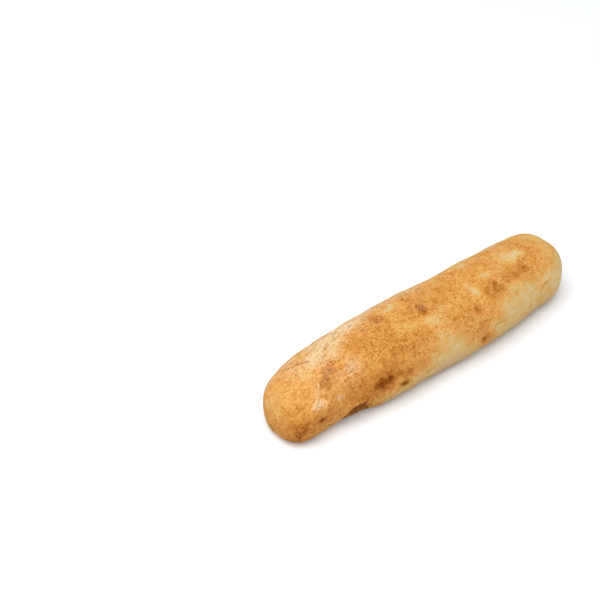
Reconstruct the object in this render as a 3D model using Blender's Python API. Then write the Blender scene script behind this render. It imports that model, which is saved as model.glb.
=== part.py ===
"""A long ciabatta roll: one solid loaf, lying on the flat of its own base.

The loaf runs along X, its left end at -X, its front side at -Y, and Z is up. The origin is the middle of the
underside of its box. The body is a ring of crust carried along the loaf, which swells and thins between a
few stations and rounds off at both ends. Uneven rising, open blisters and a torn arch under the front edge
are then worked into it.
"""

import math

import bmesh
import bpy
from mathutils import Vector, noise

MM = 0.001

# The whole loaf, outside to outside
LENGTH = 220 * MM
WIDTH = 55 * MM
HEIGHT = 41 * MM

# Along the loaf: place as a share of half the length, width and height as shares of the largest, and lean
# towards +Y
STATIONS = (
    (-1.00, 0.84, 0.86, 0.7 * MM),
    (-0.87, 0.83, 0.83, 1.3 * MM),
    (-0.75, 0.83, 0.90, 3.0 * MM),
    (-0.58, 0.89, 0.93, 2.5 * MM),
    (-0.35, 0.99, 0.97, 0.4 * MM),
    (0.00, 1.00, 1.00, 0.0 * MM),
    (0.22, 0.99, 0.96, -0.9 * MM),
    (0.40, 0.99, 0.96, -1.0 * MM),
    (0.60, 0.95, 0.94, 0.3 * MM),
    (0.80, 0.90, 0.91, 1.2 * MM),
    (1.00, 0.88, 0.93, 2.4 * MM),
)

# The ends: how long the rounding is, how square it is (2 is an ellipse), and where the very tip is: y and z
LEFT_END = {"rounding": 25 * MM, "squareness": 2.8, "tip": (-4 * MM, 9 * MM)}
RIGHT_END = {"rounding": 22.5 * MM, "squareness": 2.5, "tip": (-1 * MM, 20.5 * MM)}
CAP_ANGLE = math.radians(60)  # how far from the tip the grid over each end reaches

# The ring of crust
WAIST_SHARE = 0.46  # height of the widest line, as a share of the loaf's
TOP_SQUARENESS = 2.1
UNDER_SQUARENESS = 2.5
UNDER_DEPTH = 1.24  # how far the under curve would reach below the waist if the tray didn't stop it
BASE_EDGE = 1.5 * MM  # softness of the edge where the crust leaves the tray

# The grid: faces along the loaf, across it and up it
CELLS = (64, 16, 11)

# Uneven rising: size of the swellings, how far they stand out, and which of the possible patterns they follow
SWELLINGS = ((34 * MM, 1.1 * MM), (15 * MM, 0.6 * MM), (7 * MM, 0.25 * MM))
SWELLING_PATTERN = 3.1

# The torn arch low on the front side, where the crust lifted off the tray: how high it opens, how deep it goes
# in under its lip, how far from the front side it reaches, and the strings of torn crumb down its wall
ARCH = {
    "x": -65 * MM,
    "length": 24.5 * MM,
    "top": 14.6 * MM,
    "depth": 4.0 * MM,
    "foot": 8 * MM,  # height over which the torn wall comes out again to the foot of the crust
    "reach": 20 * MM,
    "edge": 2.6 * MM,  # height over which the crust turns in
    "lip": 0.7 * MM,  # how far the lip stands out
    "lip_height": 2 * MM,
    "string_spacing": (2.4 * MM, 7 * MM, 7 * MM),  # along the loaf, into it and up
    "string_height": 1.8 * MM,
    "taper": 0.35,  # share of its half length over which it dies away at each end
}

# Around a torn place the faces are split: how far in from the front side, and this far past the place
SPLIT_REACH = 9 * MM
SPLIT_MARGIN = 2 * MM

# Open blisters low on the front side: place along and up, length, height, depth, and rise along the loaf
BLISTERS = (
    {"x": -35 * MM, "z": 14.5 * MM, "length": 6.0 * MM, "height": 3.4 * MM, "depth": 2.2 * MM, "rise": 0.25},
    {"x": -16 * MM, "z": 13.5 * MM, "length": 4.4 * MM, "height": 2.4 * MM, "depth": 1.1 * MM, "rise": 0.10},
    {"x": 28 * MM, "z": 15.0 * MM, "length": 5.4 * MM, "height": 3.4 * MM, "depth": 2.0 * MM, "rise": 0.30},
    {"x": 84 * MM, "z": 23.5 * MM, "length": 7.0 * MM, "height": 2.2 * MM, "depth": 1.0 * MM, "rise": 0.20},
)
# The lip of skin round an open blister: how far it stands up, the share of that below the opening, and how far
# from the middle it stands and how broad it is, as shares of the opening's half size
BLISTER_LIP = {"stand": 0.35 * MM, "below": 0.3, "place": 1.2, "breadth": 0.32}

# The flat that the loaf rests on, and the size and height of the unevenness of the underside round it
REST_LENGTH, REST_WIDTH = 96 * MM, 18 * MM
BASE_GRAIN = (9 * MM, 0.12 * MM)


def curve_through(rows, place):
    """The values at a place on a smooth curve through rows of (place, value, value, ...)."""
    last = len(rows) - 1
    left = max(i for i in range(last) if i == 0 or rows[i][0] <= place)
    start, end = rows[left], rows[left + 1]
    before, after = rows[max(left - 1, 0)], rows[min(left + 2, last)]
    span = end[0] - start[0]
    t = (place - start[0]) / span
    values = []
    for k in range(1, len(start)):
        slope_in = (end[k] - before[k]) / (end[0] - before[0])
        slope_out = (after[k] - start[k]) / (after[0] - start[0])
        values.append(
            start[k] * (2 * t**3 - 3 * t**2 + 1)
            + end[k] * (3 * t**2 - 2 * t**3)
            + span * slope_in * (t**3 - 2 * t**2 + t)
            + span * slope_out * (t**3 - t**2)
        )
    return values


def smooth_step(share):
    share = min(1.0, max(0.0, share))
    return share * share * (3 - 2 * share)


def signed_power(value, power):
    return math.copysign(abs(value) ** power, value)


def end_rounding(end, angle):
    """Distance from the tip, and how far the ring has opened, at an angle from the tip."""
    power = 2 / end["squareness"]
    return end["rounding"] * (1 - math.cos(angle) ** power), math.sin(angle) ** power


def place_along(p, reach):
    """x, the ring's opening and the nearer end, for a cube point p along and reach out from the end's middle."""
    arcs = [end["rounding"] * (math.pi / 2 - CAP_ANGLE) for end in (LEFT_END, RIGHT_END)]
    straight = LENGTH - LEFT_END["rounding"] - RIGHT_END["rounding"]
    run = (p + 1) / 2 * (arcs[0] + straight + arcs[1])
    on_left = run < arcs[0] + straight / 2
    end = LEFT_END if on_left else RIGHT_END
    from_cap = run if on_left else arcs[0] + straight + arcs[1] - run
    angle = reach * CAP_ANGLE if reach < 1 else CAP_ANGLE + from_cap / end["rounding"]
    beyond = max(0.0, angle - math.pi / 2) * end["rounding"]
    inset, opening = end_rounding(end, min(angle, math.pi / 2))
    x = LENGTH / 2 - inset - beyond
    return (-x if on_left else x), opening, end


def ring_direction(q, r):
    """Across and up shares of the direction round the ring, evenly spaced for evenly spaced grid lines."""
    if q == r == 0:
        return 0.0, 1.0
    if abs(q) >= abs(r):
        turn = math.pi / 4 * r / abs(q)
        return math.copysign(math.cos(turn), q), math.sin(turn)
    turn = math.pi / 4 * q / abs(r)
    return math.sin(turn), math.copysign(math.cos(turn), r)


def crust_point(cube_point):
    """Where a point on the surface of a cube from -1 to 1 lies on the risen loaf, before it meets the tray."""
    p, q, r = cube_point
    x, opening, end = place_along(p, max(abs(q), abs(r)))
    width_share, height_share, lean = curve_through(STATIONS, x / (LENGTH / 2))
    across, up = ring_direction(q, r)
    height = HEIGHT * height_share
    waist = WAIST_SHARE * height
    squareness = TOP_SQUARENESS if up > 0 else UNDER_SQUARENESS
    rise = height - waist if up > 0 else waist * UNDER_DEPTH
    y = lean + WIDTH * width_share / 2 * signed_power(across, 2 / squareness)
    z = waist + rise * signed_power(up, 2 / squareness)
    tip_y, tip_z = end["tip"]
    return Vector((x, tip_y + (y - tip_y) * opening, tip_z + (z - tip_z) * opening))


def grid_cube():
    """A cube from -1 to 1, cut into the grid of faces."""
    bm = bmesh.new()
    bmesh.ops.create_cube(bm, size=2)
    for axis, cells in enumerate(CELLS):
        runs = [e for e in bm.edges if round(e.verts[0].co[axis] - e.verts[1].co[axis], 6) != 0]
        bmesh.ops.subdivide_edges(bm, edges=runs, cuts=cells - 1, use_grid_fill=True)
    return bm


def swell(bm):
    """Uneven rising: broad swellings and smaller ones, each in or out along the crust's own direction."""
    bm.normal_update()
    moves = []
    for vert in bm.verts:
        rise = 0
        for size, stand in SWELLINGS:
            rise += stand * noise.noise(vert.co / size + Vector((SWELLING_PATTERN, 0, size / MM)))
        moves.append(vert.normal * rise)
    for vert, move in zip(bm.verts, moves):
        vert.co += move


def settle_on_tray(bm):
    """Flattens the underside on the tray, with a soft edge, and a true flat in the middle to rest on."""
    lowest = min(pressed_height(vert.co.z) for vert in bm.verts)
    for vert in bm.verts:
        x, y, z = vert.co
        if z >= 0:
            vert.co.z = pressed_height(z) - lowest
        elif abs(x) < REST_LENGTH / 2 and abs(y) < REST_WIDTH / 2:
            vert.co.z = 0
        else:
            grain = 1 + noise.noise(vert.co / BASE_GRAIN[0])
            vert.co.z = pressed_height(z) - lowest + BASE_GRAIN[1] * grain


def pressed_height(z):
    """Height over the tray once the dough has met it, smooth through the tray's level."""
    return (z + math.hypot(z, BASE_EDGE)) / 2


def split_faces(bm, x, z, half_length, half_height, rounds):
    """Splits the faces of the front side round a place, once for each round."""
    for _ in range(rounds):
        near = []
        for face in bm.faces:
            middle = face.calc_center_median()
            along, above = abs(middle.x - x), abs(middle.z - z)
            if middle.y < SPLIT_REACH - WIDTH / 2 and along < half_length and above < half_height:
                near.append(face)
        edges = list({edge for face in near for edge in face.edges})
        bmesh.ops.subdivide_edges(bm, edges=edges, cuts=1, use_grid_fill=True)


def tear_arch(bm):
    """Draws the lower front in under an arch, with strings of torn crumb behind its lip."""
    half = ARCH["length"] / 2
    split_faces(bm, ARCH["x"], ARCH["top"] / 2, half + SPLIT_MARGIN, ARCH["top"] / 2 + SPLIT_MARGIN, 2)
    for vert in bm.verts:
        x, y, z = vert.co
        along = (x - ARCH["x"]) / half
        if y > ARCH["reach"] - WIDTH / 2 or abs(along) >= 1:
            continue
        line = ARCH["top"] * (1 - along * along) ** 0.5
        inside = smooth_step((line - z) / ARCH["edge"])
        near_edge = 1 - smooth_step((y + WIDTH / 2) / ARCH["reach"])
        strings = noise.noise(Vector(p / spacing for p, spacing in zip(vert.co, ARCH["string_spacing"])))
        foot = smooth_step(z / ARCH["foot"])
        depth = near_edge * inside * (foot * ARCH["depth"] + ARCH["string_height"] * strings)
        lip = ARCH["lip"] * math.exp(-(((z - line) / ARCH["lip_height"]) ** 2)) * (1 - inside)
        vert.co.y += (depth - lip) * smooth_step((1 - abs(along)) / ARCH["taper"])


def open_blister(bm, blister):
    """Sinks a small pit into the front side, under a lip of raised skin."""
    half_length, half_height = blister["length"] / 2, blister["height"] / 2
    split_faces(bm, blister["x"], blister["z"], half_length + SPLIT_MARGIN, half_height + SPLIT_MARGIN, 2)
    for vert in bm.verts:
        if vert.co.y > 0:
            continue
        along = vert.co.x - blister["x"]
        above = vert.co.z - blister["z"] - along * blister["rise"]
        spread = math.hypot(along / half_length, above / half_height)
        pit = blister["depth"] * (1 - smooth_step(spread))
        stand = BLISTER_LIP["stand"] * (1 if above > 0 else BLISTER_LIP["below"])
        from_lip = (spread - BLISTER_LIP["place"]) / BLISTER_LIP["breadth"]
        vert.co.y += pit - stand * math.exp(-(from_lip**2))


def fit_to_size(bm):
    """Brings the loaf to its outside sizes, with the origin in the middle of the underside of its box."""
    for axis, size in enumerate((LENGTH, WIDTH, HEIGHT)):
        places = [vert.co[axis] for vert in bm.verts]
        low, high = min(places), max(places)
        zero = low if axis == 2 else (low + high) / 2
        for vert in bm.verts:
            vert.co[axis] = (vert.co[axis] - zero) * size / (high - low)


def crust_material():
    material = bpy.data.materials.new("baked_crust")
    material.use_nodes = True
    shader = material.node_tree.nodes["Principled BSDF"]
    shader.inputs["Base Color"].default_value = (0.72, 0.42, 0.15, 1)
    shader.inputs["Roughness"].default_value = 0.6
    shader.inputs["Metallic"].default_value = 0
    return material


def make_roll():
    bm = grid_cube()
    for vert in bm.verts:
        vert.co = crust_point(vert.co)
    swell(bm)
    settle_on_tray(bm)
    tear_arch(bm)
    for blister in BLISTERS:
        open_blister(bm, blister)
    fit_to_size(bm)
    bmesh.ops.triangulate(bm, faces=bm.faces)
    bmesh.ops.recalc_face_normals(bm, faces=bm.faces)
    mesh = bpy.data.meshes.new("ciabatta_roll")
    bm.to_mesh(mesh)
    bm.free()
    mesh.shade_smooth()
    mesh.materials.append(crust_material())
    roll = bpy.data.objects.new("ciabatta_roll", mesh)
    bpy.context.scene.collection.objects.link(roll)
    return roll


def main():
    for obj in list(bpy.data.objects):
        bpy.data.objects.remove(obj)
    make_roll()


main()
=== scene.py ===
import math

import bmesh
import bpy
import numpy as np
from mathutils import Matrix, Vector, noise
from mathutils.bvhtree import BVHTree


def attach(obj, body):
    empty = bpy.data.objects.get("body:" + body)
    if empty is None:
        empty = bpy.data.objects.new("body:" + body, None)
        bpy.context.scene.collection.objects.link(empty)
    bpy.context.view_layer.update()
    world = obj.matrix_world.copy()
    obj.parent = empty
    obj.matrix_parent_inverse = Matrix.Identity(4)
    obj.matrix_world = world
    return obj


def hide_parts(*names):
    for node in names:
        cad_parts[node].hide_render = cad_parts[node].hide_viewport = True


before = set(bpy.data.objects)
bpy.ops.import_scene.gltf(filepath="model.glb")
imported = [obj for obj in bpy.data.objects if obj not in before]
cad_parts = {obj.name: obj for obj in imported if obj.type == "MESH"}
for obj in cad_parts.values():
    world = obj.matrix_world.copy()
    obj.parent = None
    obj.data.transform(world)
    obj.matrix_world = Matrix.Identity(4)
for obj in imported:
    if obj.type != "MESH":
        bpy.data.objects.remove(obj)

mm = 0.001
noise.seed_set(4)  # or else the clock would choose it
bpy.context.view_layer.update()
print("frame loaded:", sorted(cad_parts))


# a socket that can be used in sums; node() adds any other node to the same material
class Wire:
    def __init__(self, tree, socket=None):
        self.tree = tree
        self.socket = socket

    def node(self, kind, settings=None, sockets=None, output=0):
        made = self.tree.nodes.new("ShaderNode" + kind)
        for name, value in (settings or {}).items():
            if name == "stops":
                fillRamp(made.color_ramp, value)
            else:
                setattr(made, name, value)
        for name, value in (sockets or {}).items():
            plug(self.tree, made.inputs[name], value)
        return Wire(self.tree, made.outputs[output])

    def maths(self, operation, first, second=0.0, clamp=False):
        return self.node("Math", {"operation": operation, "use_clamp": clamp}, {0: first, 1: second})

    def __add__(self, other):
        return self.maths("ADD", self, other)

    def __radd__(self, other):
        return self.maths("ADD", other, self)

    def __sub__(self, other):
        return self.maths("SUBTRACT", self, other)

    def __rsub__(self, other):
        return self.maths("SUBTRACT", other, self)

    def __mul__(self, other):
        return self.maths("MULTIPLY", self, other)

    def __rmul__(self, other):
        return self.maths("MULTIPLY", other, self)

    def size(self):
        return self.maths("ABSOLUTE", self)

    def clamped(self):
        return self.maths("ADD", self, 0.0, clamp=True)

    # 0 at low, 1 at high, smooth between and level beyond
    def between(self, low, high):
        sockets = {"Value": self, "From Min": low, "From Max": high}
        return self.node("MapRange", {"interpolation_type": "SMOOTHSTEP"}, sockets)


def plug(tree, socket, value):
    if isinstance(value, Wire):
        tree.links.new(value.socket, socket)
    elif isinstance(value, tuple) and len(value) == 3 and socket.type == "RGBA":
        socket.default_value = (*value, 1.0)
    else:
        socket.default_value = value


def fillRamp(ramp, stops):
    while len(ramp.elements) > 1:
        ramp.elements.remove(ramp.elements[-1])
    for count, (place, colour) in enumerate(stops):
        element = ramp.elements[0] if count == 0 else ramp.elements.new(place)
        element.position = place
        element.color = (*colour, 1.0)


# a colour as seen on screen, 0 to 255, turned into the light values that materials use
def screenColour(*levels):
    return tuple(v / 255 / 12.92 if v < 10.3 else ((v / 255 + 0.055) / 1.055) ** 2.4 for v in levels)


# from 0 to 1, with soft ends
def smoothStep(share):
    share = np.clip(share, 0.0, 1.0)
    return share * share * (3 - 2 * share)


# unevenness of about -1 to 1 at each point; another pattern gives other hills
def noiseAt(points, size, pattern=0):
    return np.array([noise.noise(Vector(p) / size + Vector((pattern, 0, 0))) for p in points])


# places on the crust are x in mm and degrees round the roll: 0 is the front side, 90 the top, 180 the back
# patches are x, degrees, half length and half width in mm, slope in degrees up towards +X, and amount
crustPlan = {
    # the faces
    "smoothing": 2,  # rounds of subdivision over the solid's faces
    "oneDistance": 1e-5,  # m, points nearer than this are taken as one
    "floorHeight": 1e-6,  # m, faces below this lie on the tray
    "joinAngle": 0.7,  # radians, by which two triangles that become one face may differ
    "underStep": 3.0 * mm,  # side of the faces laid over the flat of the underside
    "underReach": 60 * mm,  # how far from the middle they are laid
    "fineFrom": 0.12,  # the faces are split once more where creases and wrinkles are stronger than this
    "fineCreases": 2,  # how many times their width counts there
    "fineWrinkles": 0.4,  # how strongly a wrinkled patch counts there
    # how places are found
    "axisHeight": 18 * mm,  # of the line that the degrees are counted round
    "patchFade": 1.2,  # how soon a patch fades towards its edge
    "patchSway": ((6 * mm, 1.6 * mm), (2.2 * mm, 0.7 * mm)),  # size and reach of the bends in its edge
    "creaseSway": (2.5 * mm, 0.35 * mm, 7),  # size, reach, pattern
    "creaseTaper": 0.25,  # share of a crease over which each end fades
    "creaseEnd": 0.25,  # how much of it is left at the very end
    # the relief
    "footFade": 3 * mm,  # it fades over this height above the tray
    "bumps": (  # size, height
        (17 * mm, 0.16 * mm),
        (7 * mm, 0.16 * mm),
        (3.2 * mm, 0.09 * mm),
        (1.9 * mm, 0.06 * mm),
    ),
    "creases": (  # from, to, width and depth in mm; a raised fold has a depth below 0
        ((35, 7), (47, 4.5), 0.6, 0.35),
        ((47, 4.5), (59, 1), 0.5, 0.28),
        ((-85, 62), (-89, 40), 0.42, -0.32),
        ((-89, 40), (-98, 20), 0.42, -0.34),
        ((-84, 60), (-88, 40), 0.42, 0.26),
        ((-87, 46), (-95, 22), 0.42, -0.32),
        ((-92, 42), (-99, 28), 0.42, -0.26),
        ((80, 12), (90, 20), 0.6, 0.30),
        ((-78, 101), (-62, 115), 0.5, 0.28),
        ((-74, 96), (-68, 101), 0.5, 0.26),
        ((-92, 132), (-86, 119), 0.5, 0.24),
        ((-87, 121), (-79, 103), 0.5, 0.28),
        ((-80, 112), (-66, 122), 0.5, -0.18),
        ((-70, 106), (-56, 122), 0.5, 0.16),
    ),
    # place, half length, half width, slope and height; then one wrinkle's size along and across in mm
    "wrinkles": (
        ((-65, 50), 12, 10, 12, 0.17, 4.5, 1.6),
        ((-74, 106), 16, 9, 28, 0.17, 9.0, 1.7),
        ((-90, 34), 7, 9, 62, 0.26, 6.0, 1.5),
        ((-52, 128), 20, 8, 18, 0.22, 10.0, 1.9),
        ((-96, 84), 10, 12, 30, 0.12, 6.0, 2.2),
    ),
    "wrinkleSharpness": 2.6,  # the more, the narrower the crests
    "wrinklePattern": 3,
    "wrinkleEdge": 0.05,  # a wrinkled patch ends where it has faded to this
    "fullFold": 0.3,  # mm, the height of a fold that colours the skin fully, partly as painted shade in its crease and painted light on its crest
    # how far it is baked, from 0 for pale to 1 for scorched
    "top": 0.53,
    "side": 0.24,
    "underside": 0.55,
    "undersideFrom": 0.5,  # mm above the tray, where it starts to give way to the sides
    "undersideFade": 2,  # mm, over which it does so
    "undersideBlotches": 2,  # how many times as strong as elsewhere
    "frontEdge": (  # where the browned top ends on the front side
        (-110, -200), (-98, -160), (-92, -60), (-60, -30), (-48, -13), (-38, -5), (-30, 4), (-20, 8),
        (-12, 24), (-5, 38), (3, 36), (8, 22), (14, 6), (22, -2), (34, 2), (40, 20), (48, 34), (58, 38),
        (66, 33), (80, 31), (92, 33), (102, 40), (110, 20),
    ),
    "backEdge": (
        (-110, 330), (-98, 310), (-88, 180), (-60, 152), (0, 146), (60, 142), (90, 140), (110, 160),
    ),
    "edgeSoftness": 36,  # degrees
    "edgeWobble": ((8, 12 * mm, 5), (7, 4 * mm, 9)),  # degrees, size, pattern
    "blotches": ((13 * mm, 0.07), (6 * mm, 0.09), (2.8 * mm, 0.12)),  # size, amount
    "blotchPattern": 11,
    "footHeight": 20 * mm,  # the crust browns a little more from here down to the tray, and painted shade darkens it over the same height
    "footBake": 0.05,
    "spots": (
        # the front side, low down
        (-103, -14, 7, 7, 0, 0.18), (-100, -4, 9, 8, 0, 0.08), (-91, -4, 4, 2.2, 0, 0.42),
        (-61, 4, 15, 7, 0, 0.12), (-80, 0, 12, 6, 0, 0.12), (-99, 8, 7, 7, 0, 0.08),
        (-48, 11, 13, 8, -6, 0.23), (-24, 2, 12, 9, 0, 0.13), (-35.5, -3.5, 3.6, 1.6, 12, 0.26),
        (28, -5, 3.6, 2.2, 10, 0.12), (-47.5, 11.5, 11, 5.5, -6, 0.14), (-42, 12.5, 3.2, 2.4, 0, 0.08),
        (-53, 10, 2.8, 2, 0, 0.10), (-48, 13.5, 3.4, 2.2, 0, 0.11), (-39, 4, 5, 3.5, 0, -0.10),
        (-54, -28, 7, 5, 0, 0.28), (-106, -45, 8, 6, 0, 0.14), (-33, 6, 6, 4, 0, 0.10),
        (-106, 10, 5, 12, 0, 0.06), (-30, -18, 8, 3, 0, -0.08), (-82, 29, 5, 5, 0, 0.09),
        # the patch at (-46, -22) is painted shade where the front side turns under the roll
        (-7, 20, 8, 8, 0, 0.20), (20, -13, 8, 5, 0, 0.08), (-46, -22, 7, 4, 0, 0.06),
        (-20, 6, 7, 5, 0, 0.10), (24, 12, 7, 5, 0, 0.05), (18, 5, 3, 2.6, 0, 0.10),
        (28, -4, 5, 3.6, 0, 0.32), (31, -14, 6, 3, 0, 0.20), (5, 5, 6, 7, 0, -0.04),
        (33, -11, 7, 5, 0, 0.16), (-48, 19, 7, 3, 0, 0.09), (-35, -22, 7, 4, 0, 0.06),
        (64, -13, 4, 2.4, -30, 0.18), (86, -4, 5, 3.6, 0, 0.10), (42, 11, 4, 1.8, 0, 0.10),
        (78, 4, 7, 5, 0, 0.06),
        # the left of the top
        (-70, 34, 20, 12, 0, 0.07), (-84.5, 115, 6.5, 1.2, -42, 0.20), (-99, 128, 2.4, 2.6, 0, 0.16),
        (-92, 140, 4, 3, 0, 0.08), (-98, 66, 12, 22, 0, -0.03), (-106, 140, 4, 8, 0, -0.08),
        (-103, 30, 6, 8, 0, 0.06), (-46, 82, 14, 9, 0, 0.14), (-58, 86, 2.6, 7, 0, 0.10),
        (-35, 62, 6, 4, 0, 0.10), (-46, 50, 10, 6, 0, 0.04), (-36, 119, 6, 4, 0, -0.07),
        (-77.5, 65, 7.5, 3.4, 35, 0.34), (-33, 73, 4, 4, 0, 0.07), (-69, 46, 5, 5, 0, 0.09),
        (-65, 31, 6, 5, 0, 0.09), (-76.5, 80, 4, 4, 0, 0.10), (-45, 61, 5, 4, 0, 0.07),
        (-84, 60, 1.4, 2.4, 0, 0.16), (-70, 86, 5, 3.5, 0, 0.05), (-78, 40, 10, 8, 0, -0.08),
        (-66, 100, 10, 8, 0, -0.10), (-98, 43, 6, 6, 0, 0.07),
        # the middle of the top
        (-25, 34, 20, 12, 0, 0.05), (-30, 104, 3.8, 6.4, 25, 0.24), (-28, 40, 13, 5, 0, 0.14),
        (-17, 37, 3.5, 2.6, 0, 0.14), (-20, 52, 8, 3, 0, 0.06), (-18, 112, 6, 2.4, 8, -0.30),
        (-22, 66, 6, 3, 0, -0.14), (-3, 55, 9, 5, 0, -0.22), (8, 62, 6, 3.5, 0, -0.12),
        (2, 30, 5, 4, 0, 0.08), (-9, 84, 8, 5.5, 0, 0.16), (-4, 80, 4, 4.4, 0, 0.20),
        (-5, 70, 5, 3, 0, 0.22), (-2, 92, 3, 3, 0, 0.12), (-12, 94, 3, 3, 0, 0.06),
        (-16, 89, 3, 4, 0, -0.10), (-6, 112, 4, 3.6, 0, 0.10), (8, 76, 8, 5, 0, 0.12),
        (7, 82, 3, 2.2, 0, 0.10), (18, 90, 8, 7, 0, 0.08), (27, 98, 3, 3.5, 0, 0.12),
        (35, 113, 5, 3.6, 0, 0.10), (10, 41, 3.4, 2.6, 0, 0.22), (27, 36, 3.8, 2.8, 0, 0.22),
        (18, 32, 8, 4, 0, 0.05), (32, 66, 1.7, 4.4, 12, -0.26), (33, 54, 1.5, 2.3, 12, -0.16),
        (33, 78, 3, 2.4, 0, -0.15), (22, 66, 5, 3, 0, -0.06), (34, 43, 4, 3, 0, 0.08),
        (26, 104, 3, 3, 0, -0.08), (8, 121, 8, 5, 0, -0.08), (-9, 91, 3, 3, 0, -0.08),
        (-13, 108, 4, 4, 0, -0.05),
        # the right of the top
        (46, 50, 9, 5, 0, 0.12), (40, 50, 2.8, 3.4, 0, 0.20), (46, 53, 3, 2.6, 0, 0.20),
        (51, 46, 3.6, 2.8, 0, 0.18), (46, 62, 4, 2.6, 0, 0.14), (64, 55, 5, 3.8, 0, 0.16),
        (73, 58, 4.8, 4.6, 0, 0.26), (70, 48, 8, 3, 0, 0.10), (60, 88, 2.4, 4.6, 0, 0.16),
        (52, 95, 3, 2.6, 0, 0.12), (85, 85, 3.4, 8, 0, 0.14), (74, 113, 8, 4, 0, -0.10),
        (89, 123, 6, 5, 0, -0.06), (42, 125, 5, 4, 0, -0.06), (49, 33, 7, 4, 0, 0.06),
        (53, 106, 3, 3, 0, 0.05), (56, 114, 4, 3, 0, -0.08), (80, 110, 8, 5, 0, 0.05),
        (92, 60, 7, 6, 0, 0.05), (104, 40, 5, 12, 0, -0.10), (45, 78, 3.8, 3.2, 0, -0.28),
        (73, 88, 6.4, 4, 0, -0.36), (81, 82, 3.4, 2.6, 0, -0.26), (68, 98, 5, 4, 0, -0.18),
        (57, 37, 5, 2.6, 0, -0.14), (42, 122, 4, 3, 0, -0.30), (49, 68, 5, 4, 0, 0.08),
        (38, 100, 3, 2, 0, -0.08), (51, 119, 4, 3, 0, -0.12), (90, 103, 6, 6, 0, -0.05),
        (72, 80, 6, 4, 0, -0.12), (53, 80, 4, 4, 0, -0.06), (96, 87, 5, 6, 0, -0.05),
        (97, 102, 4, 4, 0, -0.10), (98, 70, 7, 22, 0, -0.14),
        # the back, which the photograph doesn't show
        (-62, 150, 12, 6, 0, 0.18), (15, 158, 14, 7, 0, 0.15), (70, 150, 9, 6, 0, 0.20),
        (-15, 172, 7, 4, 0, 0.16), (92, 170, 6, 6, 0, 0.14), (-90, 165, 9, 7, 0, 0.16),
        (40, 172, 5, 4, 0, 0.26),
    ),
    # where flour lies, and on how much of the underside
    "flourPatches": (
        # the front side, low down
        (-91, 26, 5.5, 3.8, 0, 0.50), (-77, 19, 4.0, 2.4, -10, 0.50), (2, -20, 20, 7, 0, 0.58),
        (60, -20, 26, 4, 0, 0.30),
        # the left of the top
        (-76, 104, 13, 9, 0, 0.60), (-67, 93, 9, 6, 0, 0.42), (-64, 118, 17, 9, 0, 0.62),
        (-48, 131, 20, 8, 0, 0.82), (-37, 120, 8, 5, 0, 0.42), (-66, 140, 16, 5, 0, 0.60),
        (-86, 143, 10, 6, 0, 0.55), (-88, 120, 11, 8, 0, 0.42), (-66, 130, 17, 6, 0, 0.60),
        (-63, 56, 8, 6, 20, 0.44), (-64, 46, 8, 8, 0, 0.24), (-42, 108, 6, 5, 0, 0.30),
        (-72, 48, 9, 8, 0, 0.22), (-106, 140, 4, 8, 0, 0.16), (-86, 55, 5, 9, -30, 0.24),
        (-90, 95, 9, 9, 0, 0.25), (-82, 84, 6, 7, 0, 0.18), (-77.5, 65, 8, 4, 35, 0.26),
        # the middle of the top
        (-28, 137, 14, 6, 0, 0.65), (-16, 131, 9, 4, 0, 0.45), (4, 133, 17, 5, 0, 0.55),
        (-15, 131, 9, 4, 0, 0.60), (-4, 82, 7, 5, 0, 0.22), (-30, 104, 5, 6, 0, 0.20),
        (-18, 112, 6, 2.4, 0, 0.35), (32, 64, 1.8, 4.8, 12, 0.30),
        # the right of the top
        (50, 134, 9, 4, 0, 0.50), (73, 134, 11, 4, 0, 0.50), (74, 87, 6, 3.6, 0, 0.35),
        (105, 120, 6, 8, 0, 0.30), (52, 108, 4, 4, 0, 0.12),
        # the back, which the photograph doesn't show
        (-100, 157, 6, 8, 0, 0.45), (-107.5, 174, 2.4, 5.0, 0, 0.40), (-30, 158, 20, 6, 0, 0.40),
        (50, 165, 14, 6, 0, 0.30),
    ),
    "underFlour": {"amount": 0.35, "size": 7 * mm, "contrast": 2, "pattern": 21},
    # the open blisters' olive brown insides, partly painted shade; amounts above 0.5 paint the dark shade
    # in their slits
    "blisters": (
        (-35.3, -3.4, 3.0, 1.2, 11, 1.2), (-33.9, -7.2, 3.0, 2.2, 10, 0.62),
        (-15.4, -9, 3.4, 1.4, 12, 0.30),
        (26.8, -3.4, 2.0, 0.9, 4, 0.9), (28.8, -6.5, 3.8, 2.3, 8, 0.32),
        (84, 15, 2.4, 0.8, 12, 0.32),
    ),
    # the torn arch at the foot of the front side; its crumb holds painted shade of the hollow under the lip
    "arch": {
        "x": -65 * mm,
        "length": 20 * mm,
        "top": 14.6 * mm,
        "front": -12 * mm,  # it lies before this
        "ragged": (0.22, 4 * mm, 15),  # share of the height, size, pattern
        "edge": 2 * mm,
        "edgeShare": 0.3,  # how much of the edge's fading lies above the line
    },
    "mostAmount": 1.2,  # that a layer of bake, flour or blisters can reach
    # the colours: how far baked, and the colour then
    "ramp": (
        (0.00, screenColour(225, 200, 156)),
        (0.20, screenColour(217, 183, 124)),
        (0.36, screenColour(216, 168, 94)),
        (0.50, screenColour(214, 152, 77)),
        (0.62, screenColour(203, 138, 64)),
        (0.75, screenColour(186, 118, 48)),
        (0.88, screenColour(159, 91, 26)),
        (1.00, screenColour(126, 64, 8)),
    ),
    "depth": 0.92,  # of all colours, to suit the lamps
    "footShade": 0.29,  # how much painted shade darkens the crust at the tray, where the roll's own shadow falls
    "flour": screenColour(218, 188, 147),
    "blister": screenColour(155, 103, 26),
    # painted shade, darkest in an open blister's slit
    "blisterSlitShade": screenColour(118, 68, 0),
    # the torn crumb's dark brown, deepened with painted shade of the hollow under the lip
    "torn": screenColour(122, 56, 2),
    "tornPale": screenColour(216, 152, 78),
    # the clouds in the skin: size, detail, roughness
    "patch": (9.0 * mm, 1.0, 0.5),  # stretches with a rougher and a smoother skin
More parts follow.
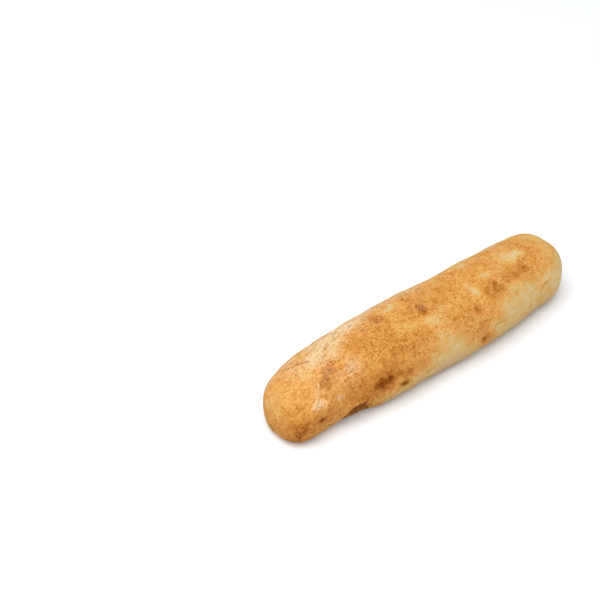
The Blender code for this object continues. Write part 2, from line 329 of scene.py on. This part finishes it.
    "mottle": (4.0 * mm, 3.0, 0.65),
    "grain": (1.5 * mm, 3.0, 0.75),
    "speck": (0.9 * mm, 1.0, 0.8),
    "lines": (2.4 * mm, 2.2, 0.65),
    "strings": (1.7 * mm, 2.0, 0.6),  # of torn crumb
    "stringHeight": 6 * mm,
    "patchRange": (-0.16, 0.14),  # from all smooth to all rough
    "stringRange": (-0.04, 0.22),  # from brown to pale
    "lineSharpness": 8,
    # how much each layer counts
    "relief": {"lines": 0.7, "grain": 0.9, "speck": 1.8, "folds": 0.8},  # light and dark in the skin: painted highlights on the specks and lines and painted shade in the folds, partly the skin's own speckle
    "reliefMiddle": 0.22,
    "bump": {"lines": 0.3, "grain": 0.7, "speck": 0.5},  # raised and sunk skin
    "bumpMottle": 0.5,
    "bumpStrings": 3,  # in the torn arch
    "bumpHeight": 0.35 * mm,
    # how strongly the relief shows: times and plus, for the bake, the patches and the crown
    "vigour": ((2.6, -0.42), (0.9, 0.75), (0.34, 0.78)),
    "crown": (24 * mm, 40 * mm),  # the heights where it starts and where it is full
    "scorchFrom": 0.6,  # baked this far, the mottle and the grain count more
    "toneMottle": (0.36, 0.7),  # everywhere, and where scorched
    "toneGrain": (0.4, 0.8),  # where baked, and where scorched
    "toneLines": 0.04,
    "toneFolds": 0.08,
    "dust": {"flour": 1.15, "folds": 0.14, "skin": 0.30, "most": 0.88},
    "dustRange": (0.05, 1.0),
    "blisterRange": (0.0, 0.6),
    "blisterSlitShadeRange": (0.5, 1.1),
    "tornPaleness": (0.65, 0.4),  # of the strings, and of the foot, where the painted shade under the lip gives way
    "shadeDepth": 0.30,  # how much the relief's painted shade and highlights darken and lighten the colours
    "shadeGrey": 0.07,  # how much grey the painted highlights and shade add to or take from the pale skin
    "roughness": (0.60, 0.80),  # browned skin, flour
    "shine": 0.04,
}


def crustFromSolid():
    bm = bmesh.new()
    bm.from_mesh(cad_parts["ciabatta_roll"].data)
    bmesh.ops.remove_doubles(bm, verts=bm.verts, dist=crustPlan["oneDistance"])
    bmesh.ops.dissolve_faces(bm, faces=facesOnFloor(bm))
    step = crustPlan["underStep"]
    reach = int(crustPlan["underReach"] / step)
    for facing in (Vector((1, 0, 0)), Vector((0, 1, 0))):
        for line in range(-reach, reach + 1):
            parts = facesOnFloor(bm)
            parts += edgesOf(parts) + list(dict.fromkeys(v for f in parts for v in f.verts))
            place, near = facing * line * step, crustPlan["oneDistance"]
            bmesh.ops.bisect_plane(bm, geom=parts, plane_co=place, plane_no=facing, dist=near)
    angle = crustPlan["joinAngle"]
    bmesh.ops.join_triangles(bm, faces=bm.faces, angle_face_threshold=angle, angle_shape_threshold=angle)
    mesh = bpy.data.meshes.new("roughCrust")
    bm.to_mesh(mesh)
    bm.free()
    rough = bpy.data.objects.new("roughCrust", mesh)
    bpy.context.scene.collection.objects.link(rough)
    smoother = rough.modifiers.new("smoothing", "SUBSURF")
    smoother.levels = smoother.render_levels = crustPlan["smoothing"]
    bpy.context.view_layer.update()
    smooth = bpy.data.meshes.new_from_object(rough.evaluated_get(bpy.context.evaluated_depsgraph_get()))
    bpy.data.objects.remove(rough)
    return smooth


def facesOnFloor(bm):
    return [f for f in bm.faces if max(v.co.z for v in f.verts) < crustPlan["floorHeight"]]


# each edge once, always in the same order, so that every run makes the same faces
def edgesOf(faces):
    return list(dict.fromkeys(e for f in faces for e in f.edges))


# finds places on the crust, and how far each of its points lies from them
class Ruler:
    def __init__(self, mesh):
        self.points = self.read(mesh.vertices, "co")
        self.normals = self.read(mesh.vertex_normals, "vector")
        polygons = [p.vertices[:] for p in mesh.polygons]
        self.tree = BVHTree.FromPolygons([Vector(p) for p in self.points], polygons)
        height = self.points[:, 2] - crustPlan["axisHeight"]
        self.degrees = np.degrees(np.arctan2(height, -self.points[:, 1]))
        self.swayed = self.points
        for size, reach in crustPlan["patchSway"]:
            sway = [noise.noise_vector(Vector(p) / size) for p in self.points]
            self.swayed = self.swayed + reach * np.array(sway)

    def read(self, items, name):
        values = np.zeros(len(items) * 3)
        items.foreach_get(name, values)
        return values.reshape(-1, 3)

    def place(self, x, degrees):
        turn = math.radians(degrees)
        start = Vector((x * mm, 0, crustPlan["axisHeight"]))
        return np.array(self.tree.ray_cast(start, Vector((0, -math.cos(turn), math.sin(turn))))[0])

    # 1 in the middle of a soft oval, falling to 0 outside; its edge is even if straight, and else sways
    def oval(self, x, degrees, halfLength, halfWidth, slope, straight=False):
        turn, slope = math.radians(degrees), math.radians(slope)
        away = (self.points if straight else self.swayed) - self.place(x, degrees)
        up = away[:, 1] * math.sin(turn) + away[:, 2] * math.cos(turn)
        depth = away[:, 2] * math.sin(turn) - away[:, 1] * math.cos(turn)
        along = away[:, 0] * math.cos(slope) + up * math.sin(slope)
        across = up * math.cos(slope) - away[:, 0] * math.sin(slope)
        halfDepth = max(halfLength, halfWidth)
        far = (along / halfLength) ** 2 + (across / halfWidth) ** 2 + (depth / halfDepth) ** 2
        return np.exp(-crustPlan["patchFade"] * far / mm**2)

    # 1 along a line over the crust, less at its ends, falling to 0 beyond its width
    def line(self, start, end, width):
        first, last = self.place(*start), self.place(*end)
        step = last - first
        share = np.clip((self.points - first) @ step / (step @ step), 0, 1)
        size, reach, pattern = crustPlan["creaseSway"]
        sway = reach * noiseAt(self.points, size, pattern)
        away = np.linalg.norm(self.points - first - share[:, None] * step, axis=1) + sway
        taper = crustPlan["creaseTaper"]
        inside = smoothStep(share / taper) * smoothStep((1 - share) / taper)
        least = crustPlan["creaseEnd"]
        return np.exp(-((away / (width * mm)) ** 2)) * (least + (1 - least) * inside)


# splits the faces where the skin has creases or wrinkles, so that these come out sharp
def splitFinely(mesh):
    ruler = Ruler(mesh)
    strength = np.zeros(len(ruler.points))
    for start, end, width, _ in crustPlan["creases"]:
        strength = np.maximum(strength, ruler.line(start, end, crustPlan["fineCreases"] * width))
    for place, halfLength, halfWidth, slope, *_ in crustPlan["wrinkles"]:
        share = ruler.oval(*place, halfLength, halfWidth, slope)
        strength = np.maximum(strength, crustPlan["fineWrinkles"] * share)
    bm = bmesh.new()
    bm.from_mesh(mesh)
    near = [f for f in bm.faces if max(strength[v.index] for v in f.verts) > crustPlan["fineFrom"]]
    bmesh.ops.subdivide_edges(bm, edges=edgesOf(near), cuts=1, use_grid_fill=True)
    bm.to_mesh(mesh)
    bm.free()


def raiseCrust(mesh):
    ruler = Ruler(mesh)
    points = ruler.points
    folds = np.zeros(len(points))
    for start, end, width, depth in crustPlan["creases"]:
        folds -= depth * ruler.line(start, end, width)
    for place, halfLength, halfWidth, slope, height, along, across in crustPlan["wrinkles"]:
        share = ruler.oval(*place, halfLength, halfWidth, slope)
        near = np.nonzero(share > crustPlan["wrinkleEdge"])[0]
        ridges = wrinkleRidges(points[near], place[1], slope, along * mm, across * mm)
        folds[near] += height * ridges * share[near]
    addLayer(mesh, "folds", np.clip(folds / crustPlan["fullFold"], -1, 1))
    heights = folds * mm + sum(height * noiseAt(points, size) for size, height in crustPlan["bumps"])
    heights *= smoothStep(points[:, 2] / crustPlan["footFade"])
    points += ruler.normals * heights[:, None]
    points[:, 2] = np.maximum(points[:, 2], 0)
    mesh.vertices.foreach_set("co", points.ravel())
    mesh.update()


# below 0 in the folds between wrinkles and 1 on their crests, which run up towards +X by the slope
def wrinkleRidges(points, degrees, slope, along, across):
    turn, slope = math.radians(degrees), math.radians(slope)
    up = Vector((0, math.sin(turn), math.cos(turn)))
    grain = Vector((math.cos(slope), 0, 0)) + up * math.sin(slope)
    cross = up * math.cos(slope) - Vector((math.sin(slope), 0, 0))
    pattern = crustPlan["wrinklePattern"]
    spots = [(Vector(p).dot(grain) / along, Vector(p).dot(cross) / across, pattern) for p in points]
    return 1 - crustPlan["wrinkleSharpness"] * np.abs(np.array([noise.noise(spot) for spot in spots]))


# values over the crust's points, for the material to read
def addLayer(mesh, name, values):
    layer = mesh.attributes.new(name, "FLOAT", "POINT")
    layer.data.foreach_set("value", values)


def paintCrust(mesh):
    ruler = Ruler(mesh)
    points = ruler.points
    under = points[:, 2] / mm - crustPlan["undersideFrom"]
    under = 1 - smoothStep(under / crustPlan["undersideFade"])
    layers = {
        "bake": bakeOf(ruler, under),
        "flour": flourOf(ruler, under),
        "torn": tornOf(points),
        "blister": np.zeros(len(points)),
    }
    for *place, amount in crustPlan["blisters"]:
        layers["blister"] = np.maximum(layers["blister"], amount * ruler.oval(*place, straight=True))
    for name, values in layers.items():
        addLayer(mesh, name, np.clip(values, 0, crustPlan["mostAmount"]))


def bakeOf(ruler, under):
    points, degrees = ruler.points, ruler.degrees
    blotch = crustPlan["blotchPattern"]
    rough = sum(amount * noiseAt(points, size, blotch) for size, amount in crustPlan["blotches"])
    wobble = sum(reach * noiseAt(points, size, pattern) for reach, size, pattern in crustPlan["edgeWobble"])
    soft = crustPlan["edgeSoftness"]
    # from -90 under the roll up to 270, so that the back comes after the top
    turned = np.where(degrees < -90, degrees + 360, degrees)
    front = np.interp(points[:, 0] / mm, *zip(*crustPlan["frontEdge"]))
    back = np.interp(points[:, 0] / mm, *zip(*crustPlan["backEdge"]))
    onTop = smoothStep((turned + wobble - front) / soft + 0.5)
    onTop *= smoothStep((back - turned + wobble) / soft + 0.5)
    bake = crustPlan["side"] + (crustPlan["top"] - crustPlan["side"]) * onTop + rough
    for *place, amount in crustPlan["spots"]:
        bake += amount * ruler.oval(*place)
    bake += crustPlan["footBake"] * (1 - smoothStep(points[:, 2] / crustPlan["footHeight"]))
    coarser = crustPlan["undersideBlotches"]
    return bake + under * (crustPlan["underside"] + coarser * rough - bake)


def flourOf(ruler, under):
    dusting = crustPlan["underFlour"]
    clouds = dusting["contrast"] * noiseAt(ruler.points, dusting["size"], dusting["pattern"])
    flour = dusting["amount"] * under * smoothStep(0.5 + clouds)
    for *place, amount in crustPlan["flourPatches"]:
        flour = np.maximum(flour, amount * ruler.oval(*place))
    return flour


def tornOf(points):
    arch = crustPlan["arch"]
    along = np.clip((points[:, 0] - arch["x"]) / (arch["length"] / 2), -1, 1)
    ragged, size, pattern = arch["ragged"]
    line = arch["top"] * np.sqrt(1 - along**2) * (1 + ragged * noiseAt(points, size, pattern))
    inside = smoothStep((line - points[:, 2]) / arch["edge"] + arch["edgeShare"])
    return inside * (points[:, 1] < arch["front"]) * (line > 0)


def crustMaterial():
    material = bpy.data.materials.new("bakedCrust")
    material.use_nodes = True
    shader = material.node_tree.nodes["Principled BSDF"]
    start = Wire(material.node_tree)
    place = start.node("TexCoord", output="Object")
    height = place.node("SeparateXYZ", {}, {0: place}, output=2)
    bake, flour, torn, blister, folds = (
        start.node("Attribute", {"attribute_name": name}, output="Fac")
        for name in ("bake", "flour", "torn", "blister", "folds")
    )

    # about -0.5 to 0.5
    def cloud(name, where=place):
        size, detail, roughness = crustPlan[name]
        sockets = {"Vector": where, "Scale": 1 / size, "Detail": detail, "Roughness": roughness}
        return start.node("TexNoise", {}, sockets) - 0.5

    patch = cloud("patch").between(*crustPlan["patchRange"])
    mottle = cloud("mottle")
    # pale wriggling lines, 1 along their middle; paler skin, and painted highlights through the relief
    lines = (1 - cloud("lines").size() * crustPlan["lineSharpness"]).clamped()
    skin = {"lines": lines, "grain": cloud("grain"), "speck": cloud("speck"), "folds": folds}
    relief = sum(skin[name] * share for name, share in crustPlan["relief"].items())
    relief = relief - crustPlan["reliefMiddle"]
    # 1 at the tray, 0 from the foot height up: painted shade deepens towards the tray, and the torn crumb
    #                                           pales there
    foot = height.between(crustPlan["footHeight"], 0.0)
    crown = height.between(*crustPlan["crown"])
    byBake, byPatch, byCrown = (
        layer * times + plus for layer, (times, plus) in zip((bake, patch, crown), crustPlan["vigour"])
    )
    vigour = byBake.clamped() * byPatch * byCrown
    # painted highlights and shade of the fine relief and the folds, partly the skin's own speckle
    shade = relief * vigour

    scorch = (bake - crustPlan["scorchFrom"]).clamped()
    everywhere, scorched = crustPlan["toneMottle"]
    tone = bake + mottle * (everywhere + scorched * scorch)
    baked, scorched = crustPlan["toneGrain"]
    tone = tone + skin["grain"] * (baked * bake + scorched * scorch)
    tone = tone - lines * crustPlan["toneLines"] - folds * crustPlan["toneFolds"]
    colour = start.node("ValToRGB", {"stops": crustPlan["ramp"]}, {0: tone.clamped()})

    dust = crustPlan["dust"]
    dusted = flour * dust["flour"] + folds * dust["folds"] + (relief + mottle) * flour * dust["skin"]
    dusted = dusted.between(*crustPlan["dustRange"]) * dust["most"]
    colour = mixColour(dusted, colour, crustPlan["flour"])

    # painted shade in the blisters' slits, where their amount passes 0.5
    depth = blister.between(*crustPlan["blisterSlitShadeRange"])
    blisterInsideAndShade = mixColour(depth, crustPlan["blister"], crustPlan["blisterSlitShade"])
    colour = mixColour(blister.between(*crustPlan["blisterRange"]), colour, blisterInsideAndShade)

    # the noise is drawn out upwards into strings
    upright = (1, 1, crustPlan["strings"][0] / crustPlan["stringHeight"])
    strings = cloud("strings", place.node("Mapping", {}, {"Vector": place, "Scale": upright}))
    onStrings, onFoot = crustPlan["tornPaleness"]
    # the crumb pales on its strings and towards the foot, where its painted shade thins
    pale = strings.between(*crustPlan["stringRange"]) * onStrings + foot * foot * onFoot
    crumb = mixColour(pale.clamped(), crustPlan["torn"], crustPlan["tornPale"])
    colour = mixColour(torn.clamped(), colour, crumb)

    # painted shade and highlights scale the colour and add grey to the pale skin; painted shade deepens at
    # the foot
    times = shade * crustPlan["shadeDepth"] + crustPlan["depth"] - foot * crustPlan["footShade"]
    grey = shade * (1 - tone) * (1 - torn) * (1 - blister.clamped()) * crustPlan["shadeGrey"]
    plug(material.node_tree, shader.inputs["Base Color"], shaded(colour, times, grey))
    low, high = crustPlan["roughness"]
    plug(material.node_tree, shader.inputs["Roughness"], dusted * (high - low) + low)
    rise = sum(skin[name] * share for name, share in crustPlan["bump"].items()) * vigour
    rise = rise + mottle * crustPlan["bumpMottle"] + strings * torn * crustPlan["bumpStrings"]
    sockets = {"Strength": 1.0, "Distance": crustPlan["bumpHeight"], "Height": rise}
    plug(material.node_tree, shader.inputs["Normal"], start.node("Bump", {}, sockets))
    shader.inputs["Specular IOR Level"].default_value = crustPlan["shine"]
    return material


# a colour times one amount, with another amount of grey added
def shaded(colour, times, added):
    scaled = colour.node("VectorMath", {"operation": "SCALE"}, {0: colour, 3: times})
    grey = colour.node("CombineXYZ", {}, {0: added, 1: added, 2: added})
    return colour.node("VectorMath", {"operation": "ADD"}, {0: scaled, 1: grey})


def mixColour(share, first, second):
    return share.node("Mix", {"data_type": "RGBA"}, {0: share, 6: first, 7: second}, output=2)


def makeCrustPiece():
    mesh = crustFromSolid()
    print("crust smoothed:", len(mesh.polygons), "faces")
    splitFinely(mesh)
    print("crust split at its creases:", len(mesh.polygons), "faces")
    raiseCrust(mesh)
    print("crust raised")
    paintCrust(mesh)
    print("crust painted")
    mesh.name = "bakedCrust"
    mesh.shade_smooth()
    mesh.materials.clear()
    mesh.materials.append(crustMaterial())
    piece = bpy.data.objects.new("bakedCrust", mesh)
    bpy.context.scene.collection.objects.link(piece)
    return piece


stageLook = {
    "floorSize": 6.0,
    "floorColour": (0.86, 0.88, 0.905),
    "floorRoughness": 0.9,
    "floorGlow": 0.09,  # lit a little from below, like a light table, which softens the shadow
    "skyStrength": 0.64,
    "lamps": (
        # name, where it stands, where it aims, side length, watts
        ("overheadLamp", (-0.45, -0.10, 1.15), (0, 0, 0), 1.0, 12.0),
    ),
}


def layFloor():
    bm = bmesh.new()
    bmesh.ops.create_grid(bm, x_segments=1, y_segments=1, size=stageLook["floorSize"] / 2)
    mesh = bpy.data.meshes.new("floor")
    bm.to_mesh(mesh)
    bm.free()
    floor = bpy.data.objects.new("floor", mesh)
    bpy.context.scene.collection.objects.link(floor)
    material = bpy.data.materials.new("paleFloor")
    material.use_nodes = True
    shader = material.node_tree.nodes["Principled BSDF"]
    shader.inputs["Base Color"].default_value = (*stageLook["floorColour"], 1)
    shader.inputs["Roughness"].default_value = stageLook["floorRoughness"]
    shader.inputs["Specular IOR Level"].default_value = 0.0
    shader.inputs["Emission Color"].default_value = (1, 1, 1, 1)
    shader.inputs["Emission Strength"].default_value = stageLook["floorGlow"]
    mesh.materials.append(material)
    return floor


def hangLamps():
    world = bpy.data.worlds.new("paleSky")
    world.use_nodes = True
    sky = world.node_tree.nodes["Background"]
    sky.inputs["Color"].default_value = (1, 1, 1, 1)
    sky.inputs["Strength"].default_value = stageLook["skyStrength"]
    bpy.context.scene.world = world
    for name, place, aim, side, watts in stageLook["lamps"]:
        lamp = bpy.data.lights.new(name, "AREA")
        lamp.size = side
        lamp.energy = watts
        holder = bpy.data.objects.new(name, lamp)
        holder.location = place
        holder.rotation_euler = (Vector(aim) - Vector(place)).to_track_quat("-Z", "Y").to_euler()
        bpy.context.scene.collection.objects.link(holder)


viewpoint = {
    "azimuth": -39.79,  # degrees round the roll
    "elevation": 40.0,
    "distance": 0.937,
    "lens": 96.0,
    "sensorWidth": 36,
    "frameSide": 600,  # pixels across the picture
    "rollAt": (419.5, 328.8),  # where the roll's middle stands in the picture, in pixels
    "rollMiddle": (0, 0, 20 * mm),
}


def standCamera():
    turn, lift = math.radians(viewpoint["azimuth"]), math.radians(viewpoint["elevation"])
    back = Vector((math.sin(turn) * math.cos(lift), -math.cos(turn) * math.cos(lift), math.sin(lift)))
    right = Vector((math.cos(turn), math.sin(turn), 0))
    up = back.cross(right)
    lensInPixels = viewpoint["lens"] / viewpoint["sensorWidth"] * viewpoint["frameSide"]
    across, down = ((p - viewpoint["frameSide"] / 2) / lensInPixels for p in viewpoint["rollAt"])
    camera = bpy.data.cameras.new("camera")
    camera.lens = viewpoint["lens"]
    camera.sensor_width = viewpoint["sensorWidth"]
    holder = bpy.data.objects.new("camera", camera)
    away = viewpoint["distance"]
    holder.location = Vector(viewpoint["rollMiddle"]) + (back - right * across + up * down) * away
    holder.rotation_euler = (-back).to_track_quat("-Z", "Y").to_euler()
    bpy.context.scene.collection.objects.link(holder)
    bpy.context.scene.camera = holder


standCamera()
hangLamps()
floor = layFloor()
bpy.context.scene.view_settings.view_transform = "Standard"
print("stage set")

crust = makeCrustPiece()
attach(crust, "root")
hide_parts("ciabatta_roll")
print("crust finished")
